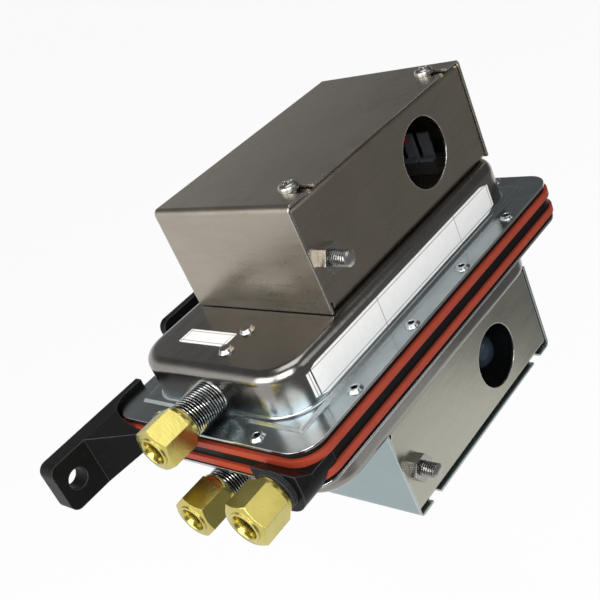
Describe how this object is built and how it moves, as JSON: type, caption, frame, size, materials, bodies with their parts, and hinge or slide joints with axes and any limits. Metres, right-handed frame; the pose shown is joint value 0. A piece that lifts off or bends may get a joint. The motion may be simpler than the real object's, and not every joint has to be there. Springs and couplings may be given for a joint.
{
  "type": "dual differential air pressure switch",
  "caption": "Wall-mounted differential air pressure switch: diaphragm chambers clamped on a black bracket body, folded steel wiring boxes above and below, and brass tube fittings at one end.",
  "frame": {"origin": "midway between the two bracket holes, on the bracket's back face", "axes": "+X along the long side away from the tube fittings, +Y into the wall, +Z from the lower switch to the upper switch"},
  "size_m": [0.198, 0.0875, 0.121],
  "materials": {
    "zinc_sheet": "zinc-plated sheet, satin",
    "zinc_screw": "zinc-plated, bright",
    "black_nylon": "moulded, fine texture",
    "black_rubber": "matte",
    "red_silicone": "matte",
    "aluminium": "pressed, satin",
    "spring_steel": "bright wire",
    "brass": "turned",
    "white_nylon": "moulded",
    "black_phenolic": "moulded",
    "red_button": "moulded",
    "tinned_terminal": "tin-plated",
    "plated_ferrule": "plated"
  },
  "bodies": {
    "switch": {"centre_body": "black_nylon", "flange_eyelets": "zinc_screw", "high_port_ferrule": "plated_ferrule", "lower_adjuster_bushing": "brass", "lower_box_rivets": "zinc_screw", "lower_calibration_spring": "spring_steel", "lower_cover_screws": "zinc_screw", "lower_diaphragm": "red_silicone", "lower_dome_rivets": "zinc_screw", "lower_enclosure_base": "zinc_sheet", "lower_ground_nut": "zinc_screw", "lower_ground_screw": "zinc_screw", "lower_housing": "zinc_sheet", "lower_pin_guide": "white_nylon", "lower_port_ferrule": "plated_ferrule", "lower_port_stem": "brass", "lower_sealing_ring": "black_rubber", "lower_switch_body": "black_phenolic", "lower_switch_bracket": "zinc_sheet", "lower_switch_screws": "zinc_screw", "lower_switch_terminals": "tinned_terminal", "upper_adjuster_bushing": "brass", "upper_box_rivets": "zinc_screw", "upper_calibration_spring": "spring_steel", "upper_cover_screws": "zinc_screw", "upper_diaphragm": "red_silicone", "upper_dome_rivets": "zinc_screw", "upper_enclosure_base": "zinc_sheet", "upper_ground_nut": "zinc_screw", "upper_ground_screw": "zinc_screw", "upper_housing": "zinc_sheet", "upper_pin_guide": "white_nylon", "upper_port_ferrule": "plated_ferrule", "upper_port_stem": "brass", "upper_sealing_ring": "black_rubber", "upper_switch_body": "black_phenolic", "upper_switch_bracket": "zinc_sheet", "upper_switch_screws": "zinc_screw", "upper_switch_terminals": "tinned_terminal"},
    "high_port_nut": {"high_port_nut": "brass"},
    "lower_diaphragm_plate": {"lower_diaphragm_plate": "aluminium"},
    "lower_enclosure_cover": {"lower_enclosure_cover": "zinc_sheet"},
    "lower_port_nut": {"lower_port_nut": "brass"},
    "lower_spring_adjuster": {"lower_spring_adjuster": "brass"},
    "lower_switch_plunger": {"lower_switch_plunger": "red_button"},
    "upper_diaphragm_plate": {"upper_diaphragm_plate": "aluminium"},
    "upper_enclosure_cover": {"upper_enclosure_cover": "zinc_sheet"},
    "upper_port_nut": {"upper_port_nut": "brass"},
    "upper_spring_adjuster": {"upper_spring_adjuster": "brass"},
    "upper_switch_plunger": {"upper_switch_plunger": "red_button"}
  },
  "joints": [
    {"name": "upper_plate_slide", "type": "slide", "parent": "switch", "child": "upper_diaphragm_plate", "axis": [0, 0, 1], "range_m": [0, 0.001], "stiffness_N_per_m": 500, "springref_m": -0.002, "deforming": ["upper_calibration_spring"]},
    {"name": "upper_plunger_slide", "type": "slide", "parent": "switch", "child": "upper_switch_plunger", "axis": [0, 0, 1], "range_m": [0, 0.001]},
    {"name": "upper_adjuster_turn", "type": "hinge", "parent": "switch", "child": "upper_spring_adjuster", "pos_m": [0, -0.0452, 0.031], "axis": [0, 0, 1], "continuous": true},
    {"name": "upper_cover_slide", "type": "slide", "parent": "switch", "child": "upper_enclosure_cover", "axis": [0, 1, 0], "range_m": [0, 0.06]},
    {"name": "upper_nut_turn", "type": "hinge", "parent": "switch", "child": "upper_port_nut", "pos_m": [-0.086, -0.0452, 0.0126], "axis": [-1, 0, 0], "continuous": true},
    {"name": "lower_plate_slide", "type": "slide", "parent": "switch", "child": "lower_diaphragm_plate", "axis": [0, 0, -1], "range_m": [0, 0.001], "stiffness_N_per_m": 500, "springref_m": -0.002, "deforming": ["lower_calibration_spring"]},
    {"name": "lower_plunger_slide", "type": "slide", "parent": "switch", "child": "lower_switch_plunger", "axis": [0, 0, -1], "range_m": [0, 0.001]},
    {"name": "lower_adjuster_turn", "type": "hinge", "parent": "switch", "child": "lower_spring_adjuster", "pos_m": [0, -0.0452, -0.031], "axis": [0, 0, -1], "continuous": true},
    {"name": "lower_cover_slide", "type": "slide", "parent": "switch", "child": "lower_enclosure_cover", "axis": [0, 1, 0], "range_m": [0, 0.06]},
    {"name": "lower_nut_turn", "type": "hinge", "parent": "switch", "child": "lower_port_nut", "pos_m": [-0.086, -0.0452, -0.0126], "axis": [-1, 0, 0], "continuous": true},
    {"name": "high_nut_turn", "type": "hinge", "parent": "switch", "child": "high_port_nut", "pos_m": [-0.0915, -0.079, 0], "axis": [-1, 0, 0], "continuous": true}
  ],
  "couplings": [
    {"joint": "upper_plunger_slide", "follows": "upper_plate_slide", "ratio": 1},
    {"joint": "lower_plunger_slide", "follows": "lower_plate_slide", "ratio": 1}
  ]
}
